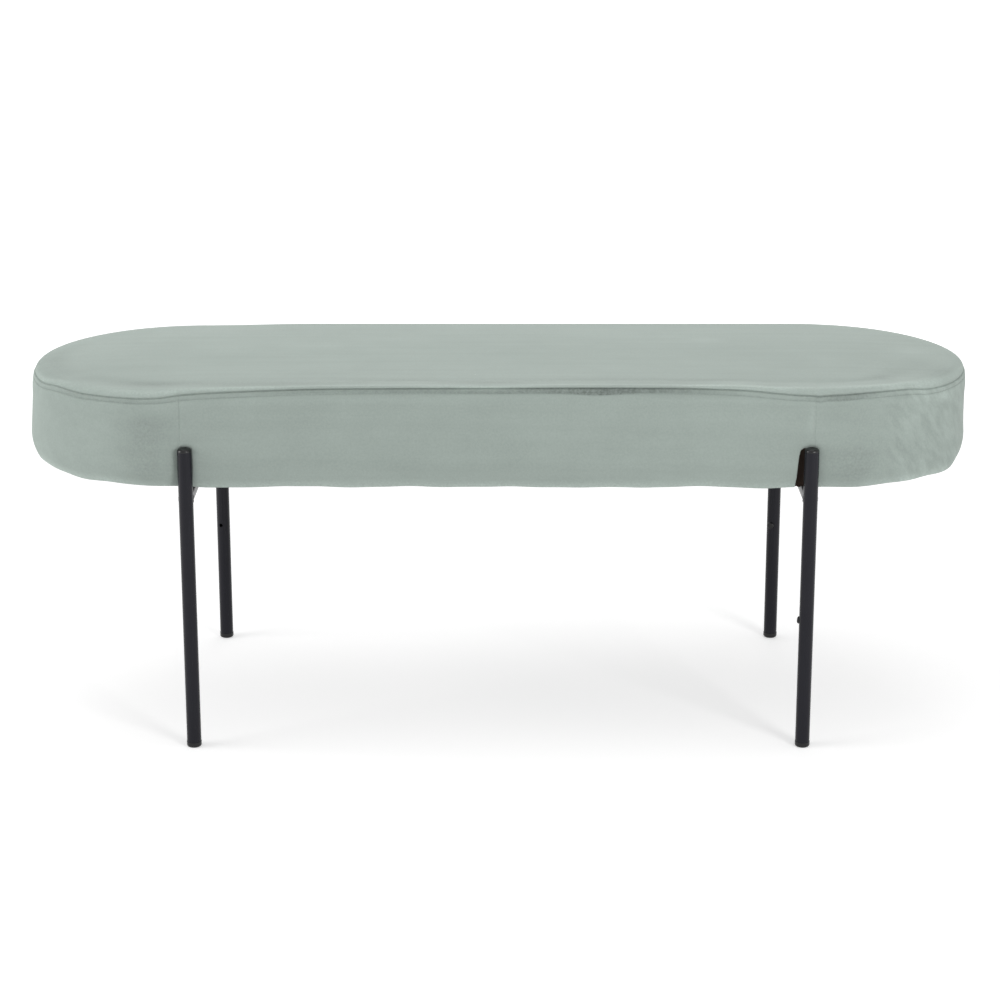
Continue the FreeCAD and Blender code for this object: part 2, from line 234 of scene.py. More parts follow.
def section(t, rise):
    """Reach, height and slope of the seat's section at t; the slope is the face's turn upwards.

    From the hem's edge: a level line, a small arc at the fold, the wide arc that draws the band
    under, a line that leans in, the rim's quarter circle and the crown's parabola. rise lifts the rim.
    """
    lean_height = rim_height + rise - widest_height
    lean = np.hypot(seat_radius - rim_edge, lean_height)
    rim_length = rim_radius * math.pi / 2
    drop = widest_height - hem_height - fold_radius
    fold_x = seat_radius - low_radius + math.sqrt((low_radius - fold_radius) ** 2 - drop ** 2)
    fold_slope = -math.asin(drop / (low_radius - fold_radius))
    low_length = low_radius * fold_slope
    fold_start = low_length - fold_radius * (fold_slope + math.pi / 2)

    share = np.clip(t / lean, 0.0, 1.0)
    low_turn = np.clip(t, low_length, 0.0) / low_radius
    fold_turn = np.clip((t - fold_start) / fold_radius - math.pi / 2, -math.pi / 2, fold_slope)
    rim_turn = np.clip((t - lean) / rim_radius, 0.0, math.pi / 2)
    flat = rim_edge - rim_radius
    crown = np.maximum(flat - np.maximum(t - lean - rim_length, 0.0), 0.0)
    rim_top = rim_height + rise + rim_radius
    pieces = (t < fold_start, t < low_length, t < 0.0, t < lean, t < lean + rim_length)
    reach = np.select(pieces, (
        fold_x + (t - fold_start),
        fold_x + fold_radius * np.cos(fold_turn),
        seat_radius - low_radius * (1.0 - np.cos(low_turn)),
        seat_radius + (rim_edge - seat_radius) * share,
        rim_edge - rim_radius * (1.0 - np.cos(rim_turn)),
    ), crown)
    height = np.select(pieces, (
        hem_height,
        hem_height + fold_radius * (1.0 + np.sin(fold_turn)),
        widest_height + low_radius * np.sin(low_turn),
        widest_height + lean_height * share,
        rim_height + rise + rim_radius * np.sin(rim_turn),
    ), rim_top + (top_height - rim_top) * (1.0 - (crown / flat) ** 2))
    slope = np.select(pieces, (-math.pi / 2, fold_turn, low_turn, 0.04, rim_turn), math.pi / 2)
    return reach, height, slope


# The front's raised edge, halfway along: distance up the cloth from the seam, reach, height
raised_edge = (
    (-20, 202, 439.6), (-14, 201, 445.6), (-10, 198.7, 449.5), (-7.8, 196.1, 451.9), (-6.2, 193.9, 453.1),
    (-4.6, 192.9, 454.3), (-2.2, 192.3, 456.3), (-0.8, 191.8, 457.7), (0, 190.3, 458.9),
    (0.9, 191.6, 459.4), (2.2, 192.9, 460.2), (3.8, 192.4, 461.5), (6, 190.4, 462.1), (9.5, 187, 461.9),
    (16, 180.4, 461.3), (30, 166.6, 460.8), (60, 136.8, 460.6),
)
middle_rise = 3.0


def raised_offset(distance):
    """How far the raised edge lies from the plain section, in reach and height, by distance."""
    edge = np.array(raised_edge)
    reach, height, _ = section(seam_t + front_ride + edge[:, 0], middle_rise)
    knots = np.concatenate(([-44.0, -30.0], edge[:, 0], [130.0, 190.0]))
    outward = np.pad(edge[:, 1] - reach, 2)
    upward = np.pad(edge[:, 2] - height, 2)
    return through(knots, outward, distance), through(knots, upward, distance)


def sewn_relief(s, distance):
    """Height of the cloth's relief by the distance from the seam, outwards, in millimetres.

    A narrow valley at the seam, a shallower one at the topstitch, a low roll between them, and
    full rolls beside them; all as bell curves. It fades where the raised edge takes over.
    """
    plain = 1.0 - np.clip(seam_ride(s), 0.0, 1.0)
    valley = -1.5 * bump(distance, 0.0, 1.0)
    between = 0.25 * bump(distance, -3.1, 1.6)
    stitched = -0.8 * bump(distance, -stitch_distance, 0.8)
    band_roll = 0.7 * bump(distance, -17.0, 9.0)
    top_roll = bump(distance, 6.0, 5.0)
    return plain * (valley + between + stitched + band_roll + top_roll)


def slack(s, distance):
    """Loose places of the top panel along its edge: shallow valleys beside softly raised ones."""
    left = bump(s, -60.0, 110.0)
    right = bump(s, 800.0, 70.0)
    valleys = left * bump(distance, 36.0, 12.0) + right * bump(distance, 44.0, 12.0)
    return 0.6 * (left + right) * bump(distance, 14.0, 9.0) - 0.6 * valleys


def creases(s, t):
    """Fine creases in the band, as valleys: one below the seam near the left end, two at the kink."""
    left = bump(s - 0.5 * (t - 75.0), -131.0, 2.8) * bump(t, 67.0, 11.0)
    right = bump(s, 796.0, 3.6) * bump(t, 70.0, 8.0)
    fold = bump(s - 0.3 * (t - 60.0), 770.0, 5.0) * bump(t, 58.0, 14.0)
    return -1.1 * left - 0.7 * right - 0.35 * fold


# Where the four strips of the band are sewn together, the front ones hidden behind the legs below
right_join = front_right - 9.0
band_joins = (start_s, front_left + 7.0, right_join, rear_right, rear_left)


def join_line(place, t):
    """s of a band seam at t: the one near the right leg bends to the left on its way down."""
    return place - (place == right_join) * 5.0 * step(t, 82.0, 40.0)


def band_seams(s, t):
    """Narrow valleys where the four strips of the band are sewn together, the right front one faint."""
    valley = sum(
        (0.15 if place == right_join else 1.0) * bump(s, join_line(place, t), 1.0)
        for place in band_joins)
    fading = 0.4 + 0.6 * step(t, 35.0, 65.0)
    return -0.45 * valley * fading * (1.0 - step(t, seam_t, seam_t + 4.0)) * step(t, -40.0, -28.0)


# How far the band's lower edge hangs down or is drawn up along the front, in millimetres, by s
edge_drop = (
    (-320, 0), (-257, -2), (-213, -1.5), (-164, -0.9), (-118, 0.4), (-90, -1.1), (-43, -0.6), (-8, -1.4),
    (40, 0.4), (78, 1.3), (104, 0.5), (141, -1.1), (168, -0.5), (194, 1), (221, 1.2), (250, 0.3), (281, -1),
    (314, -0.2), (360, 0.5), (421, -0.4), (466, 1.5), (555, 0.8), (574, 1.4), (600, 0.3), (625, -0.7),
    (650, -0.5), (690, 1.2), (710, 2), (755, 1.2), (793, 0.1), (830, 1.4), (859, 1.4), (885, 0.5),
    (918, 1.8), (938, 1.7), (957, 2.4), (977, 3.3), (1001, 2.1), (1035, 0.9), (1080, 0.2), (1130, 0),
)


def low_edge(s, t):
    """Unevenness of the band's lower edge: outwards and downwards, strongest at the fold."""
    near_fold = bump(t, -24.0, 17.0) * step(t, -40.0, -30.0)
    uneven = waves(s, (10, 20, 30, 50), 3)
    corner_lump = bump(s, 1000.0, 30.0)
    drop = through(*zip(*edge_drop), s)
    out = near_fold * (0.5 * uneven + 2.0 * corner_lump)
    out = out + 2.4 * bump(s, 1070.0, 60.0) * bump(t, -20.0, 22.0) * step(t, -40.0, -30.0)
    down = near_fold * (0.9 + 0.7 * uneven + 2.6 * corner_lump + bump(s, 930.0, 16.0))
    return out, down + near_fold * drop


# Swelling of the cover, worked out as cloth on a coarse grid: one displacement for each place
swell_columns = 132
swell_pitch = around_length / swell_columns
swell_rows = np.linspace(-60.0, 277.0, 33)
swell_inset = 1.6  # how much smaller the cover is when it starts to swell
swell_limit = 4.0  # how far a point may move
swell_share = 0.6
swelling = {"moves": np.zeros((len(swell_rows), swell_columns, 3))}


def spline_weights(u):
    """The four weights of a cubic B-spline at the share u of the way between two places."""
    return (
        (1 - u) ** 3 / 6,
        (3 * u ** 3 - 6 * u ** 2 + 4) / 6,
        (-3 * u ** 3 + 3 * u ** 2 + 3 * u + 1) / 6,
        u ** 3 / 6,
    )


def swell(s, row):
    """How far the swollen cover has moved at s and row: a cubic B-spline over the coarse grid."""
    moves = swelling["moves"]
    across = (s - start_s) / swell_pitch
    up = (row - swell_rows[0]) / (swell_rows[1] - swell_rows[0])
    column = np.floor(across).astype(int)
    level = np.floor(up).astype(int)
    total = 0.0
    for i, across_weight in enumerate(spline_weights(across - column)):
        for j, up_weight in enumerate(spline_weights(up - level)):
            places = np.clip(level + j - 1, 0, len(swell_rows) - 1), (column + i - 1) % swell_columns
            total = total + (across_weight * up_weight)[..., None] * moves[places]
    return total


leg_clearance = 0.4  # from a leg to the cloth round it
wedge_floor = 192.2  # how far from the middle line the open gap ends


def wedge_width(z):
    """Width at height z of the gap beside the front right leg: round at its top, widest at the hem."""
    return through((0.0, 1.5, 3.0, 8.0, 20.0, 36.0, 51.0), (0.3, 1.8, 3.5, 5.4, 7.0, 8.2, 9.8), leg_top - z)


def leg_pockets(x, y, z, inset):
    """y of the cover with the legs pressed in.

    Where the round of a leg and its cap lie inside the cloth, the cloth follows them; beside the leg
    and over its top it comes back out along a bell curve. Beside the front right leg it stands open.
    """
    for leg_side, row in leg_corners:
        across = x - leg_side * leg_x
        out = y * row
        rounded = np.clip((z - leg_top) / cap_rounding + 1.0, 0.0, 1.0)
        gap = tube_radius + leg_clearance + inset - cap_rounding * (1.0 - np.sqrt(1.0 - rounded ** 2))
        tube = out - (leg_y - np.sqrt(np.maximum(gap ** 2 - across ** 2, 0.0)))
        tube = np.where(np.abs(across) < gap, tube, out - leg_y)
        tail = 2.2 * bump(across, 0.0, 11.0)
        pressed = 0.5 * (tube + tail + np.sqrt((tube - tail) ** 2 + 1.0))
        above = bump(np.maximum(z - leg_top + 0.6, 0.0), 0.0, 2.2)
        low = step(z, hem_height, hem_height + 20.0)
        pressed = pressed * above * (0.25 + 0.75 * low)
        if leg_side == 1 and row == -1:
            open_width = wedge_width(z)
            share = (-across - tube_radius + 1.5) / (open_width + 1.5)
            inside = plateau(share, -0.15, 0.1, 0.86, 1.0) * (z < leg_top)
            inside = np.maximum(inside, (inset > 0) * (np.abs(across + tube_radius) < 22.0))
            depth = np.minimum(1.3 * open_width, 11.0)
            pressed = np.maximum(pressed, inside * (depth + (inset > 0) * 3.0))
            pressed = np.minimum(pressed, out - wedge_floor + (inset > 0) * 1.1)
        here = (np.abs(across) < 40.0) & (out > 150.0) & (z < leg_top + 25.0)
        y = np.where(here, y - row * np.maximum(pressed, 0.0), y)
    return y


def bare_surface(s, row, inset=0.0, relief=1.0):
    """x, y, z of the cover's face at s and row before it swells, drawn in by inset."""
    t = row_t(row, s)
    ride = np.clip(seam_ride(s), 0.0, 1.1)
    left_end = 1.0 - plateau(s, -150.0, 0.0, rear_left - 150.0, rear_left)
    reach, height, slope = section(t, middle_rise * ride + left_sag * left_end)
    distance = t - seam_line(s)
    outward, upward = raised_offset(distance)
    out = relief * (sewn_relief(s, distance) + slack(s, distance) + creases(s, t) + band_seams(s, t))
    edge_out, edge_down = low_edge(s, t)
    reach = reach + relief * (ride * outward + edge_out) + (out - inset) * np.cos(slope)
    height = height + relief * (ride * upward - edge_down) + (out - inset) * np.sin(slope)
    points = placed(s, np.maximum(reach, 0.0), height)
    lean = cover_lean * (height - cover_middle) * step(t, -45.0, -10.0)
    points[..., 0] += lean * step(np.abs(points[..., 0]), 330.0, 520.0)
    return points


def seat_surface(s, row, inset=0.0, relief=1.0):
    """x, y, z of the finished cover's face at s and row, with its swelling and its leg pockets."""
    points = bare_surface(s, row, inset, relief) + swell(s, row)
    points[..., 1] = leg_pockets(*np.moveaxis(points, -1, 0), inset)
    return points


# Meshes

def mesh_object(name, vertices, faces):
    """A piece of the scene from vertices in millimetres and faces."""
    mesh = bpy.data.meshes.new(name)
    mesh.from_pydata((np.asarray(vertices).reshape(-1, 3) * 0.001).tolist(), [], faces)
    mesh.update()
    made = bpy.data.objects.new(name, mesh)
    scene.collection.objects.link(made)
    return made


def grid_faces(rows, columns, around=False, over=False):
    """Faces of a grid of vertices, row by row; around and over join its last line to its first."""
    index = np.arange(rows * columns).reshape(rows, columns)
    if around:
        index = np.concatenate((index, index[:, :1]), axis=1)
    if over:
        index = np.concatenate((index, index[:1]), axis=0)
    corners = (index[:-1, :-1], index[:-1, 1:], index[1:, 1:], index[1:, :-1])
    return np.stack(corners, axis=-1).reshape(-1, 4).tolist()


def rod_faces(rings, sides, closed=False, first=0):
    """Faces of a rod from its rings of vertices, with one over each end unless it is closed."""
    faces = (np.array(grid_faces(rings, sides, around=True, over=closed)) + first).tolist()
    if not closed:
        ring = np.arange(first, first + sides)
        faces += [ring[::-1].tolist(), (ring + (rings - 1) * sides).tolist()]
    return faces


def rings_round(middle, first, second, thick, sides):
    """Rings round a line: thick times the cosine of the turn along first and its sine along second."""
    turn = np.linspace(0.0, 2.0 * math.pi, sides, endpoint=False)[:, None]
    ring = np.cos(turn) * first[..., None, :] + np.sin(turn) * second[..., None, :]
    return middle[..., None, :] + thick[..., None, None] * ring


def merge_close(made, distance=0.00002):
    """Joins vertices that lie on one another, such as those at a pole."""
    work = bmesh.new()
    work.from_mesh(made.data)
    bmesh.ops.remove_doubles(work, verts=work.verts, dist=distance)
    work.to_mesh(made.data)
    work.free()


def point_values(made, name, values):
    """Stores one number for each vertex, for the material to read."""
    layer = made.data.attributes.new(name, "FLOAT", "POINT")
    layer.data.foreach_set("value", np.asarray(values, np.float32).ravel())


def solidified(made, thickness):
    """Gives a sheet its thickness, inwards from the face that is drawn."""
    wall = made.modifiers.new("thickness", "SOLIDIFY")
    wall.thickness = thickness * 0.001
    wall.offset = -1.0
    made.data.shade_smooth()
    return made


# Swelling, by cloth simulation

def swell_cover(pressure=4.0, last_frame=20):
    """Lets the cover swell over its padding and stores how far each coarse place moves.

    The start shape is a little smaller than the cover, except at the seam, the hem, the legs and
    the middle, which are pinned. The moves from there are capped and added to the full shape.
    """
    s = start_s + swell_pitch * np.arange(swell_columns)[None, :]
    row = swell_rows[:, None]
    distance = row_t(row, s) - seam_line(s)
    x, y, z = np.moveaxis(bare_surface(s, row, relief=0.0), -1, 0)
    near_leg = (z < leg_top + 10.0) * sum(
        bump(np.hypot(x - side * leg_x, y - leg_row * leg_y), 0.0, 26.0) for side, leg_row in leg_corners)
    pinned = np.clip(
        1.2 * bump(distance, 0.0, 9.0) + step(-row, 18.0, 34.0) + near_leg + step(row, 100.0, 140.0),
        0.0, 1.0)
    start = bare_surface(s, row, inset=swell_inset * (1.0 - pinned), relief=0.0)
    cover = mesh_object("swelling", start, grid_faces(*start.shape[:2], around=True))
    held = cover.vertex_groups.new(name="held")
    for i, weight in enumerate(pinned.ravel()):
        held.add([i], float(weight), "REPLACE")
    cloth = cover.modifiers.new("cloth", "CLOTH")
    stuff = cloth.settings
    stuff.vertex_group_mass = "held"
    stuff.use_pressure = True
    stuff.uniform_pressure_force = pressure
    stuff.effector_weights.gravity = 0.0
    stuff.quality = 6
    stuff.tension_stiffness = 25.0
    stuff.compression_stiffness = 25.0
    stuff.bending_stiffness = 2.0
    cloth.collision_settings.use_collision = False
    cloth.point_cache.frame_start = 1
    cloth.point_cache.frame_end = last_frame
    for number in range(1, last_frame + 1):
        scene.frame_set(number)
    swollen = cover.evaluated_get(bpy.context.evaluated_depsgraph_get()).to_mesh()
    ends = np.empty(start.size)
    swollen.vertices.foreach_get("co", ends)
    moves = ends.reshape(start.shape) * 1000.0 - start
    size = np.linalg.norm(moves, axis=-1, keepdims=True)
    swelling["moves"] = moves * np.minimum(1.0, swell_limit / np.maximum(size, 1e-9)) * swell_share
    bpy.data.objects.remove(cover)
    scene.frame_set(1)


swell_cover()

# Velvet cover

band_rows = spread(
    (-59.7, 7.0), (-36.0, 2.0), (-31.0, 0.8), (-27.0, 2.6), (12.0, 1.6), (30.0, 2.6), (66.0, 1.3),
    (72.0, 0.6), (seam_t, 1.0),
)
top_rows = spread(
    (seam_t, 0.55), (84.0, 0.8), (96.0, 1.7), (112.0, 3.2), (150.0, 8.0), (288.0, 1.0),
)


def columns_between(start, end):
    """Places from one band seam to the next: 1 mm apart near the legs and seams, else 4.5 mm."""
    near = (start_s - leg_s, leg_s, front_right - leg_s, rear_right + leg_s, rear_left - leg_s)
    fine = 1.0
    coarse = 4.5
    first = start + 14.0
    last = end - 14.0
    inner = []
    for place in near:
        if start - 24.0 < place <= start + 50.0:
            first = place + 26.0
        elif end - 50.0 <= place < end + 24.0:
            last = place - 26.0
        elif start < place < end:
            inner += [(place - 24.0, fine), (place + 24.0, coarse)]
    return spread((start, fine), (first, coarse), *inner, (last, fine), (end, fine))


# The top panel's columns lie alike on both sides, so that they meet on its middle line
around_columns = all_round(
    spread((0.0, 1.0), (14.0, 4.4), (end_turn - 14.0, 1.0), (end_turn, 1.0)),
    spread((0.0, 1.0), (36.0, 4.6), (front_right - 36.0, 1.0), (front_right, 1.0)))


# The strip between topstitch and seam, with painted shade where it lies under the raised edge: s, then its
# lower and upper edge by distance from the seam, and how dark it is
strip_painted_shade = (
    (-210, -6, 0.8, 0), (-150, -6, 0.8, 0.12), (-60, -6.2, 0.8, 0.15), (10, -6.2, 0.8, 0.04),
    (60, -6.2, 0.8, 0.02), (172, -4.9, 1.4, 0.19), (215, -5.5, 1.1, 0.18), (276, -5.4, 1.8, 0.25),
    (336, -5.6, 0.8, 0.28), (397, -6.2, -0.5, 0.28), (458, -6.1, 2.3, 0.39), (518, -8.2, 2.3, 0.5),
    (579, -5.5, 2, 0.42), (616, -5.1, 2.8, 0.28), (665, -6, 1.6, 0.14), (720, -6.2, 0.8, 0),
    (760, -6.2, 0.8, 0.08), (785, -6, 1.6, 0.2), (822, -7, 0.8, 0.28), (858, -4.8, 1, 0.16),
    (900, -6, 0.8, 0),
)


def painted_seam_shade(s, distance):
    """How much painted shade lies on the strip under the raised edge and in the sewn lines, 0 to 1.

    The strip is as dark as its table says between its two edges; the seam and the topstitch are bell
    curves over the distance from them. Both waver along s.
    """
    places, *columns = zip(*strip_painted_shade)
    low, high, dark = [through(places, column, s) for column in columns]
    strip = dark * plateau(distance, low - 0.9, low + 0.9, high - 0.6, high + 0.6)
    strip = strip * (1.0 + 0.2 * waves(s, (90, 145, 230), 5))
    halfway = plateau(s, 50.0, 200.0, 640.0, 720.0)
    uneven = 1.0 + 0.6 * waves(s, (120, 200, 330), 6)
    seam = (0.12 - 0.13 * halfway) * bump(distance, 0.0, 1.3)
    stitches = (0.09 - 0.07 * halfway) * bump(distance, -stitch_distance, 1.2)
    return strip + (seam + stitches) * uneven


def painted_gap_shade(points):
    """1 where the cover lies inside the open gap beside the front right leg, which is painted dark brown as
    shade; else 0.
    """
    x, y, z = np.moveaxis(points, -1, 0)
    open_width = wedge_width(z)
    beside = leg_x - tube_radius - x
    gap = plateau(beside, -8.0, -1.0, open_width - 1.0, open_width)
    return gap * (y < 0) * (z < leg_top - 0.5)


# Pile combed up along the top panel's edge, painted as a highlight on its lip and as shade behind it: s,
# then middle, width and strength of the pale band, and middle, width and strength of the darker one behind
# it
edge_highlight_and_shade = (
    (-420, 4, 5, 0, 28, 16, 0), (-255, 4, 4, 0.6, 28, 16, 1), (-205, 5, 4, 1.4, 30, 14, 0.4),
    (-125, 11, 8, 1, 40, 15, 0.7), (-60, 9, 7, 1.6, 41, 17, 1.6), (33, 7, 5, 2.2, 33, 13, 1.5),
    (93, 6.5, 3.5, 2.5, 30, 16, 1.6), (172, 7, 3.5, 1.4, 29, 17, 1.2), (276, 9, 7, 1.2, 38, 9, 1.6),
    (397, 3.5, 4.5, 1.9, 31, 13, 1.7), (458, 10, 5, 1.2, 37, 13, 1.6), (579, 9, 5, 0.8, 37, 17, 1.5),
    (640, 8.5, 5, 2.6, 37, 12, 1.8), (688, 12, 10, 1.9, 45, 9, 0.8), (725, 10.5, 7, 2.6, 42, 10, 0.5),
    (785, 15, 11, 1.6, 50, 12, 0), (858, 12, 8, 2.5, 45, 10, 0.8), (889, 9, 8, 2.3, 46, 15, 1.4),
    (948, 9.5, 8.5, 2.2, 60, 22, 0.8), (1030, 8, 6, 1.1, 60, 22, 0.6), (1120, 8, 6, 0, 60, 22, 0),
)


def painted_light_and_pile_lay(s, t, distance):
    """How much paler the cover is painted, below 0 where darker: painted highlight and painted shade along
    the top panel's edge, with its combed pile, as bell curves over the distance from the seam.

    The band has painted shade in one patch beside each front leg and in the sewn lines. Painted highlights
    make it paler at the fold and where it swells against the left leg, and lie in a streak down the right
    band seam. It is also paler below the seam at the right end.
    """
    places, *columns = zip(*edge_highlight_and_shade)
    middle, width, pale, behind, spread_out, dark = [through(places, column, s) for column in columns]
    # Painted shade on the band beside each front leg
    left_painted_shade = bump(s, -35.0, 30.0) * step(-distance, 10.0, 35.0)
    right_painted_shade = bump(s, 832.0, 36.0) * (
        0.25 * step(-distance, 8.0, 25.0) + 0.95 * step(-t, -40.0, -5.0))
    # Painted highlight where the cloth swells against the left leg, lightening its shade
    beside = bump(s, 29.0, 9.0) * step(t, 30.0, 14.0) + 0.5 * bump(s, 10.0, 9.0) * bump(t, 25.0, 3.0)
    right_end = bump(s, 970.0, 48.0) * bump(distance, -12.0, 8.0)
    # Painted highlight down the soft fold at the right band seam
    streak = bump(s, join_line(right_join, t) - 2.0, 3.5) * bump(t, 52.0, 18.0)
    return (
        pale * bump(distance, middle, width) - dark * bump(distance, behind, spread_out)
        # Painted highlight at the fold of the hem; the sewn lines below carry painted shade
        + 1.5 * bump(t, -28.0, 8.0) + 0.9 * bump(t, -31.0, 5.0) - left_painted_shade - right_painted_shade + 0.7 * beside
        + 1.3 * right_end + 0.5 * streak - 6.0 * painted_seam_shade(s, distance))


# Places of the top where a hand has pushed the pile over, as seen from above: x, y, half of the length
# and of the width, and how much paler, below 0 where darker
pushed_places = (
    (-225, 35, 42, 20, 0.7), (-345, 7, 50, 26, 0.4), (271, 73, 22, 14, 0.9), (538, 16, 26, 22, 0.7),
    (-556, -105, 22, 30, -0.6), (556, -95, 24, 34, -1.1),
)


def pushed_pile(points):
    """How much paler the top lies in its pushed places: a bell curve along each, times one across."""
    x, y, z = np.moveaxis(points, -1, 0)
    paler = sum(
        strength * bump(x, place_x, long) * bump(y, place_y, wide)
        for place_x, place_y, long, wide, strength in pushed_places)
    return paler * step(z, 445.0, 457.0)


def cloth_piece(name, columns, rows, top=False):
    """One cut piece of velvet: a strip of the band, or the top panel, which goes all round.

    Its seam edge turns inwards, hidden, as an allowance does.
    """
    points = seat_surface(columns[None, :], rows[:, None])
    seam_edge = points[0 if top else -1]
    inward = unit(placed(columns, 0.0, seam_edge[:, 2]) - seam_edge)
    allowance = seam_edge + inward * np.reshape(allowance_depths, (-1, 1, 1))
    allowance[..., 2] += allowance_gap if top else -allowance_gap
    points = np.concatenate((allowance[::-1], points) if top else (points, allowance))
    rows = np.pad(rows, (2, 0) if top else (0, 2), "edge")
    made = mesh_object(name, points, grid_faces(*points.shape[:2], around=top))
    s, row = np.broadcast_arrays(columns[None, :], rows[:, None])
    distance = row_t(row, s) - seam_line(s)
    # shade is painted shade in the gap beside the front right leg; gleam holds painted highlights and
    # painted shade, with the pile's lay
    point_values(made, "shade", painted_gap_shade(points))
    point_values(made, "gleam", painted_light_and_pile_lay(s, row, distance) + pushed_pile(points))
    point_values(made, "crushed", plateau(s, 850.0, 900.0, 1060.0, 1140.0) * (distance < 0))
    if top:
        merge_close(made)
    return solidified(made, cloth_thickness)


velvet_pieces = {
    "cover_top_panel": cloth_piece("velvet_top_panel", around_columns, top_rows, top=True)}
for strip, start, end in zip(("left_end", "front", "right_end", "rear"), band_joins, band_joins[1:]):
    velvet_pieces["cover_band_" + strip] = cloth_piece(
        "velvet_band_" + strip, columns_between(start, end), band_rows)

# Topstitch

def topstitch():
    """Stitches round the seat: each a small six-sided rod, its ends sunk in the cloth.

    The thread's middle follows the cover at the topstitch line; its height above the cloth is half
    a sine wave along the stitch.
    """
    count = round(around_length / stitch_pitch)
    along = np.linspace(-half_stitch, half_stitch, 5)
    s = start_s + (np.arange(count)[:, None] + 0.5 + along) * (around_length / count)
    row = np.full_like(s, seam_t - stitch_distance)
    middle = seat_surface(s, row)
    up = unit(seat_surface(s, row + 0.5) - middle)
    tangent = unit(seat_surface(s + 0.5, row) - middle)
    out = np.cross(tangent, up)
    arch = np.cos(along / half_stitch * math.pi / 2)
    middle = middle + out * (stitch_arch * arch - stitch_sinking)[:, None]
    sides = 6
    points = rings_round(middle, up, out, thread_radius * (0.6 + 0.4 * arch), sides)
    faces = []
    for stitch in range(count):
        faces += rod_faces(len(along), sides, first=stitch * len(along) * sides)
    made = mesh_object("topstitch_thread", points, faces)
    made.data.shade_smooth()
    return made


thread = topstitch()

# Padding under the cover

soft_columns = all_round(
    spread((0.0, 8.0), (end_turn - 16.0, 2.0), (end_turn, 1.0)),
    spread((0.0, 2.0), (40.0, 9.0), (front_right - 40.0, 2.0), (front_right, 1.0)))


def soft_body(name, outer, inner, to_middle=True):
    """Closed body between two stacks of rows: up the outer ones, then back down the inner ones.

    Where both stacks end on the seat's middle line, each closes there by itself, and no face joins them.
    """
    points = np.concatenate((outer, inner))
    columns = points.shape[1]
    faces = grid_faces(*points.shape[:2], around=True, over=True)
    if to_middle:
        del faces[(len(outer) - 1) * columns:len(outer) * columns]
    made = mesh_object(name, points, faces)
    merge_close(made, 0.0001)
    made.data.shade_smooth()
    return made


def drawn_in(rows, inset, low, high=None):
    """Rows of the cover's face, drawn in by inset and less uneven, with heights from low to high."""
    points = seat_surface(soft_columns[None, :], rows[:, None], inset, relief=0.6)
    points[..., 2] = np.clip(points[..., 2], low, high)
    return points


cover_gap = 1.9  # from the cover's face to the wadding or foam below it
foam_inset = 8.2
soft_gap = 0.4  # between the padding's bodies, and from them to the board
crown_rows = spread((38.0, 5.0), (72.0, 3.0), (104.0, 8.0), (288.0, 1.0))
side_rows = spread((-27.5, 4.0), (37.0, 1.0))
low_deck = deck_top + 0.3
low_board = board_height + soft_gap
wadding = soft_body(
    "padding_wadding", drawn_in(crown_rows, cover_gap, low_deck),
    drawn_in(crown_rows, foam_inset - soft_gap, low_deck)[::-1])
seat_foam = soft_body(
    "padding_seat_foam", drawn_in(crown_rows, foam_inset, low_deck),
    placed(soft_columns, np.linspace(0.0, 190.0, 12)[:, None], low_deck))
side_foam = soft_body(
    "padding_side_foam", drawn_in(side_rows, cover_gap, low_board, deck_top),
    placed(soft_columns, board_radius + soft_gap, np.linspace(deck_top, low_board, 6)[:, None]),
    to_middle=False)

# Dust cover

def dust_cloth():
    """Pill of spun-bonded cloth, drawn flat to the board and lapped over the hem.

    Its height is level on the board, steps down over the hem's edge, and has slight waves between
    the staples.
    """
    hem_edge = seat_radius - draw_in - hem_width
    columns = around_columns[::2]
    reach = np.concatenate((
        np.linspace(0.0, hem_edge - 8.0, 20), np.linspace(hem_edge - 5.0, dust_cover_radius, 14)))[:, None]
    on_hem = step(reach, hem_edge - 2.5, hem_edge + 0.5)
    sagging = 0.35 * (0.5 + 0.5 * waves(columns, (50, 70), 8))
    height = board_height - 0.05 - on_hem * (cloth_thickness + sagging)
    points = placed(columns, reach, height)[:, ::-1]
    made = mesh_object("dust_cloth", points, grid_faces(*points.shape[:2], around=True))
    merge_close(made)
    return solidified(made, dust_cloth_thickness)


dust_cloth_thickness = 0.7
dust_cover = dust_cloth()

# Weld beads

bead_radius = 1.5
bead_aside = 4.8  # from the rail's middle to the bead beside a plate
bead_rise = 7.9
ripple_height = 0.16
ripple_pitch = 2.4


def weld_paths():
    """Middle lines of the beads, each with whether it closes and its share of the full thickness.

    Round a leg the bead follows the saddle where two equal tubes cross: its distance from the leg's
    middle is the tube's radius times the size of the cosine of the turn round the rail, and it thins
    with that cosine. Beside a plate it is a straight line, rounded at both ends.
    """
    turn = np.linspace(0.0, 2.0 * math.pi, 96, endpoint=False)
    saddle_share = 0.15 + 0.85 * np.sqrt(np.abs(np.cos(turn)))
    count = 60
    along = np.linspace(-plate_width / 2 + 2.0, plate_width / 2 - 2.0, count)
    end = np.clip(np.minimum(np.arange(count), count - 1 - np.arange(count)) / 4.0, 0.0, 1.0)
    line_share = np.sqrt(end * (2.0 - end) + 0.01)
    for leg_side, row in leg_corners:
        x = leg_side * leg_x
        reach = tube_radius * np.sqrt(np.cos(turn) ** 2 + 0.01)
        saddle = np.stack((
            x + tube_radius * np.sin(turn), row * (leg_y - reach),
            rail_height + tube_radius * np.cos(turn)), axis=-1)
        yield saddle, True, saddle_share
        for side in (-1, 1):
            line = np.stack((
                np.full(count, x + side * bead_aside), row * plate_y + along,
                np.full(count, rail_height + bead_rise)), axis=-1)
            yield line, False, line_share


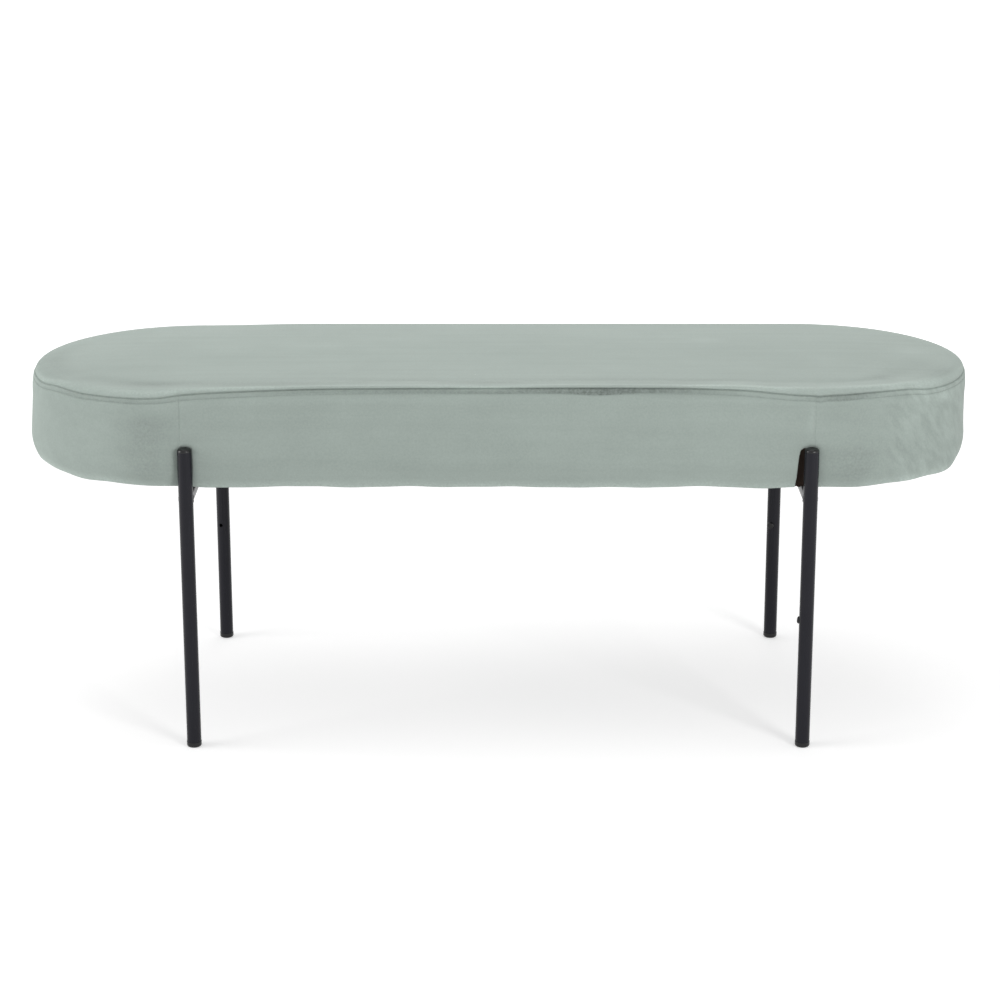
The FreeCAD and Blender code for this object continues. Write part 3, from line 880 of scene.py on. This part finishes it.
def weld_beads():
    """Rippled beads where the cross rails meet the legs and the mounting plates.

    The ripples are a sine wave along the bead.
    """
    points = []
    faces = []
    sides = 10
    for place, closed, share in weld_paths():
        if closed:
            tangent = np.roll(place, -1, axis=0) - np.roll(place, 1, axis=0)
            aside = place - place.mean(axis=0)
        else:
            tangent = np.gradient(place, axis=0)
            aside = np.array((0.0, 0.0, 1.0))
        length = np.cumsum(np.linalg.norm(tangent, axis=-1)) / 2
        tangent = unit(tangent)
        aside = unit(aside - (aside * tangent).sum(axis=-1, keepdims=True) * tangent)
        ripples = max(1, round(length[-1] / ripple_pitch))
        ripple = ripple_height * np.cos(2.0 * math.pi * ripples * length / length[-1])
        faces += rod_faces(len(place), sides, closed, sum(len(part) for part in points))
        rings = rings_round(place, aside, np.cross(tangent, aside), share * (bead_radius + ripple), sides)
        points.append(rings.reshape(-1, 3))
    made = mesh_object("weld_beads", np.concatenate(points), faces)
    made.data.shade_smooth()
    return made


beads = weld_beads()

# Materials

def colour(code):
    """Linear colour of an sRGB hex code."""
    values = [int(code[i:i + 2], 16) / 255 for i in (1, 3, 5)]
    linear = [v / 12.92 if v <= 0.04045 else ((v + 0.055) / 1.055) ** 2.4 for v in values]
    return (*linear, 1.0)


def node(tree, kind, settings=None, **inputs):
    """Adds a node; settings are its own properties, and inputs are values or links by socket name.

    A link is an output, or a node whose first live output is meant. A colour may be an sRGB hex code,
    and n0 is the first input, n1 the next.
    """
    added = tree.nodes.new("ShaderNode" + kind)
    for name, value in (settings or {}).items():
        setattr(added, name, value)
    for name, value in inputs.items():
        key = int(name[1:]) if name[0] == "n" and name[1:].isdigit() else name.replace("_", " ")
        if isinstance(value, str):
            value = colour(value)
        if isinstance(value, bpy.types.Node):
            value = next(output for output in value.outputs if output.enabled)
        if isinstance(value, bpy.types.NodeSocket):
            tree.links.new(value, added.inputs[key])
        else:
            added.inputs[key].default_value = value
    return added


def new_material(name):
    """A material, what adds nodes to it, and the place on the piece that its patterns follow."""
    made = bpy.data.materials.new(name)
    made.use_nodes = True
    made.node_tree.nodes.clear()
    add = functools.partial(node, made.node_tree)
    return made, add, add("TexCoord").outputs["Object"]


def finish_material(made, shader):
    """Joins the shader to the material's output."""
    node(made.node_tree, "OutputMaterial", Surface=shader)
    return made


def velvet():
    """Polyester velvet, woven and sheared: short pile that shows lighter or darker by its lay, with painted
    highlights and painted shade from the cover's attributes.
    """
    made, add, place = new_material("sheared polyester velvet")
    shade, gleam, crushed = [
        add("Attribute", {"attribute_name": name}).outputs["Fac"] for name in ("shade", "gleam", "crushed")]
    # Pile brushed one way or the other, in soft patches about 70 mm wide
    brushed = add("TexNoise", Vector=place, Scale=14.0, Detail=3.0, Roughness=0.55)
    patches = add("MapRange", n0=brushed, n1=0.3, n2=0.7, n3=0.97, n4=1.03)
    # Tufts are 0.3 mm apart, drawn at about 2.5 mm so that they show
    tufts = add("TexNoise", Vector=place, Scale=420.0, Detail=2.0, Roughness=0.6)
    grain = add("MapRange", n0=tufts, n1=0.3, n2=0.7, n3=0.955, n4=1.045)
    # Hand strokes leave lines about 12 mm apart and 250 mm long
    drawn_out = add("Mapping", Vector=place, Scale=(4.0, 80.0, 80.0))
    strokes = add("TexNoise", Vector=drawn_out, Scale=1.0, Detail=3.0)
    lines = add("MapRange", n0=strokes, n1=0.3, n2=0.7, n3=0.97, n4=1.03)
    # Combed pile stands in clumps of about 3 mm, so the painted highlights and shade of the gleam and the
    # painted shade of the sewn lines are uneven
    clumps = add("TexNoise", Vector=place, Scale=330.0, Detail=1.0)
    clumped = add("MapRange", n0=clumps, n1=0.3, n2=0.7, n3=0.09, n4=0.17)
    lit = add("Math", {"operation": "MULTIPLY_ADD"}, n0=gleam, n1=clumped, n2=1.0)
    # Pile crushed at the right end: slanting dabs about 10 mm wide and 30 mm long
    slanted = add(
        "Mapping", {"vector_type": "TEXTURE"}, Vector=place, Rotation=(-0.52, 0.77, 0.0),
        Scale=(0.03, 0.03, 0.01))
    dabs = add("TexNoise", Vector=slanted, Scale=1.0, Detail=2.0)
    dabs = add("MapRange", n0=dabs, n1=0.35, n2=0.65, n3=-0.08, n4=0.08)
    dabs = add("Math", {"operation": "MULTIPLY_ADD"}, n0=dabs, n1=crushed, n2=1.0)
    light = patches
    for factor in (grain, lines, lit, dabs):
        light = add("Math", {"operation": "MULTIPLY"}, n0=light, n1=factor)
    # shade paints the open gap beside the front right leg dark brown: painted shade
    base = add("Mix", {"data_type": "RGBA"}, n0=shade, n6="#9ba6a0", n7="#3a2e27")
    tone = add("Mix", {"data_type": "RGBA", "blend_type": "MULTIPLY"}, n0=1.0, n6=base, n7=light)
    # A speck of lint, 1 mm across, in about one of twenty patches of 30 mm
    lint = add("TexVoronoi", Vector=place, Scale=33.0)
    chosen = add("SeparateColor", n0=lint.outputs["Color"])
    chosen = add("Math", {"operation": "LESS_THAN"}, n0=chosen, n1=0.06)
    small = add("Math", {"operation": "LESS_THAN"}, n0=lint, n1=0.022)
    speck = add("Math", {"operation": "MULTIPLY"}, n0=chosen, n1=small)
    tone = add("Mix", {"data_type": "RGBA"}, n0=speck, n6=tone, n7="#e9ece9")
    pile = add("Bump", Strength=0.25, Distance=0.0006, Height=tufts)
    return finish_material(made, add(
        "BsdfPrincipled", Base_Color=tone, Roughness=0.9, Normal=pile, Specular_IOR_Level=0.2,
        Sheen_Weight=0.45, Sheen_Roughness=0.45, Sheen_Tint="#dfe9e3"))


def sewing_thread():
    """Bonded polyester thread, twisted and dyed to match: small, smooth and a little shiny."""
    made, add, place = new_material("bonded polyester thread")
    # Its twist shows as flecks of about 1 mm
    twist = add("TexNoise", Vector=place, Scale=900.0, Detail=1.0)
    tone = add("Mix", {"data_type": "RGBA"}, n0=twist, n6="#848e88", n7="#949e98")
    return finish_material(made, add("BsdfPrincipled", Base_Color=tone, Roughness=0.55))


def clouded(name, dark, pale, scale, gloss, grain=None, **finish):
    """Hard skin whose colour and gloss vary in the same soft patches, with a fine grain if it has one.

    gloss is the least and the greatest roughness, and grain is its scale, strength and depth.
    """
    made, add, place = new_material(name)
    patches = add("TexNoise", Vector=place, Scale=scale, Detail=2.0)
    tone = add("Mix", {"data_type": "RGBA"}, n0=patches, n6=dark, n7=pale)
    rough = add("MapRange", n0=patches, n3=gloss[0], n4=gloss[1])
    if grain:
        fine = add("TexNoise", Vector=place, Scale=grain[0], Detail=1.0)
        finish["Normal"] = add("Bump", Strength=grain[1], Distance=grain[2], Height=fine)
    return finish_material(made, add("BsdfPrincipled", Base_Color=tone, Roughness=rough, **finish))


def plywood():
    """Birch plywood, rotary cut and sanded: pale, with long faint grain and darker lines of glue."""
    made, add, place = new_material("sanded birch plywood")
    # Grain lines are about 4 mm apart and 150 mm long
    stretched = add("Mapping", Vector=place, Scale=(6.0, 240.0, 240.0))
    grain = add("TexNoise", Vector=stretched, Scale=1.0, Detail=4.0)
    tone = add("Mix", {"data_type": "RGBA"}, n0=grain, n6="#c9a97c", n7="#dcc39b")
    # Lines of glue show 3 mm apart
    height = add("SeparateXYZ", Vector=place).outputs["Z"]
    plies = add("Math", {"operation": "PINGPONG"}, n0=height, n1=0.0015)
    glue = add("MapRange", n0=plies, n1=0.0, n2=0.0003, n3=0.72, n4=1.0)
    lined = add("Mix", {"data_type": "RGBA", "blend_type": "MULTIPLY"}, n0=1.0, n6=tone, n7=glue)
    return finish_material(made, add(
        "BsdfPrincipled", Base_Color=lined, Roughness=0.65, Specular_IOR_Level=0.35))


def fibrous(name, dark, pale, scale, rough, depth):
    """Matt soft stuff whose fibres or cells show as fine light and dark flecks."""
    made, add, place = new_material(name)
    cells = add("TexVoronoi", Vector=place, Scale=scale)
    fibres = add("TexNoise", Vector=place, Scale=scale * 0.6, Detail=3.0)
    fleck = add("Math", {"operation": "MULTIPLY_ADD"}, n0=cells, n1=0.6, n2=fibres)
    tone = add("Mix", {"data_type": "RGBA"}, n0=fleck, n6=dark, n7=pale)
    relief = add("Bump", Strength=0.4, Distance=depth, Height=fleck)
    return finish_material(made, add(
        "BsdfPrincipled", Base_Color=tone, Roughness=rough, Normal=relief, Specular_IOR_Level=0.15))


velvet_cloth = velvet()
matching_thread = sewing_thread()
# Steel with a black polyester powder coat, baked: satin, with a fine orange peel. The melted powder
# leaves swells about 2 mm across
black_coat = clouded(
    "black powder-coated steel", "#17171e", "#1c1c23", 30.0, (0.22, 0.29), (500.0, 0.06, 0.0004),
    Specular_IOR_Level=0.2)
# Black polyethylene, injection moulded: a satin skin with a faint spark-eroded grain. The mould's grain
# is 0.2 mm, drawn at 1 mm
black_plastic = clouded(
    "black moulded polyethylene", "#0d0d0f", "#131315", 160.0, (0.15, 0.24), (1000.0, 0.08, 0.0002),
    Specular_IOR_Level=0.38)
# Steel plated with bright zinc: a pale metal with small cloudy patches, about 3 mm across
bright_zinc = clouded("zinc-plated steel", "#b4b7ba", "#c9cbcc", 330.0, (0.25, 0.45), Metallic=1.0)
birch_ply = plywood()
# Polyurethane foam has cells of about 1 mm, wadding a loose felt of fibres, and spun-bonded cloth a
# pressed web whose spots are about 1.5 mm apart
foam = fibrous("cut polyurethane foam", "#cfc7a6", "#efe8cb", 1000.0, 0.9, 0.0004)
wadding_felt = fibrous("polyester wadding", "#dddddb", "#fafaf8", 500.0, 0.95, 0.001)
spun_bond = fibrous("black spun-bonded polypropylene", "#0b0b0b", "#1d1d1d", 660.0, 0.8, 0.0002)

# What each solid is made of

made_of = (
    (black_coat, ("_leg", "_cross_rail", "_mounting_plate")),
    (black_plastic, ("_cap", "_foot", "leg_hole_plugs")),
    (birch_ply, ("_board", "_frame_rail", "_end_rail", "_batten")),
    (bright_zinc, ("frame_screws", "staples", "plate_bolts", "plate_washers", "tee_nuts")),
    (foam, ("seat_foam", "side_foam")),
    (wadding_felt, ("fibre_wadding",)),
    (spun_bond, ("dust_cover",)),
)
for name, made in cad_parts.items():
    finish = next((material for material, endings in made_of if name.endswith(endings)), velvet_cloth)
    made.data.materials.clear()
    made.data.materials.append(finish)


def belongs(piece, material, slot, *nodes):
    """Gives a piece its material, puts it under the root body and hides the solids that it stands for; slot
    is not used.
    """
    piece.data.materials.append(material)
    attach(piece, "root")
    if nodes:
        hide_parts(*nodes)


for cad_node, piece in velvet_pieces.items():
    belongs(piece, velvet_cloth, "velvet", cad_node)
belongs(thread, matching_thread, "velvet")
belongs(beads, black_coat, "black_steel")
belongs(wadding, wadding_felt, "wadding", "fibre_wadding")
belongs(seat_foam, foam, "foam", "seat_foam")
belongs(side_foam, foam, "foam", "side_foam")
belongs(dust_cover, spun_bond, "dust_cloth", "dust_cover")

# Stage: pale floor, white to the camera, and soft lamps

def stage_material():
    """Pale matt floor. The camera sees it lighter than it is lit, and far away fully white."""
    made, add, place = new_material("pale matt floor")
    away = add("VectorMath", {"operation": "LENGTH"}, n0=place)
    level = add("MapRange", n0=away, n1=1.0, n2=3.5, n3=0.46, n4=0.8)
    matt = add("BsdfDiffuse", Color="#e6e6e6")
    glow = add("Emission", Color="#ffffff", Strength=level)
    path = add("LightPath").outputs
    seen = add("Math", {"operation": "MAXIMUM"}, n0=path["Is Camera Ray"], n1=path["Is Glossy Ray"])
    both = add("AddShader", n0=matt, n1=glow)
    return finish_material(made, add("MixShader", n0=seen, n1=matt, n2=both))


floor_corners = ((-16e3, -8e3, 0), (16e3, -8e3, 0), (16e3, 30e3, 0), (-16e3, 30e3, 0))
floor = mesh_object("floor", floor_corners, [(0, 1, 2, 3)])
floor.data.materials.append(stage_material())

world = bpy.data.worlds.new("studio")
world.use_nodes = True
world.node_tree.nodes.clear()
add = functools.partial(node, world.node_tree)
path = add("LightPath").outputs
seen = add("Math", {"operation": "MAXIMUM"}, n0=path["Is Camera Ray"], n1=path["Is Glossy Ray"])
seen = add("Math", {"operation": "MAXIMUM"}, n0=seen, n1=path["Is Transmission Ray"])
level = add("MapRange", n0=seen, n3=0.47, n4=1.0)
sky = add("Background", Color="#ffffff", Strength=level)
add("OutputWorld", Surface=sky)
scene.world = world


lamp_aim = (0.0, 0.0, 0.4)  # inside the seat


def soft_lamp(name, place, size, power, shiny=True):
    """Square area lamp at place, turned towards the seat; metres and watts. Not shiny: no highlights."""
    lamp = bpy.data.lights.new(name, "AREA")
    lamp.shape = "SQUARE"
    lamp.size = size
    lamp.energy = power
    made = bpy.data.objects.new(name, lamp)
    made.location = place
    aim_x, aim_y, aim_z = np.subtract(lamp_aim, place)
    tilt = math.atan2(math.hypot(aim_x, aim_y), -aim_z)
    made.rotation_euler = (tilt, 0.0, math.atan2(-aim_x, aim_y))
    made.visible_camera = False
    made.visible_glossy = shiny
    scene.collection.objects.link(made)


soft_lamp("key", (2.0, -2.8, 1.3), 1.0, 49.5)
soft_lamp("fill", (-3.3, -0.8, 1.2), 2.0, 52.0)
soft_lamp("overhead", (-0.2, 0.4, 3.0), 2.6, 19.5)
soft_lamp("rear", (0.5, 3.2, 0.62), 1.2, 13.0, shiny=False)
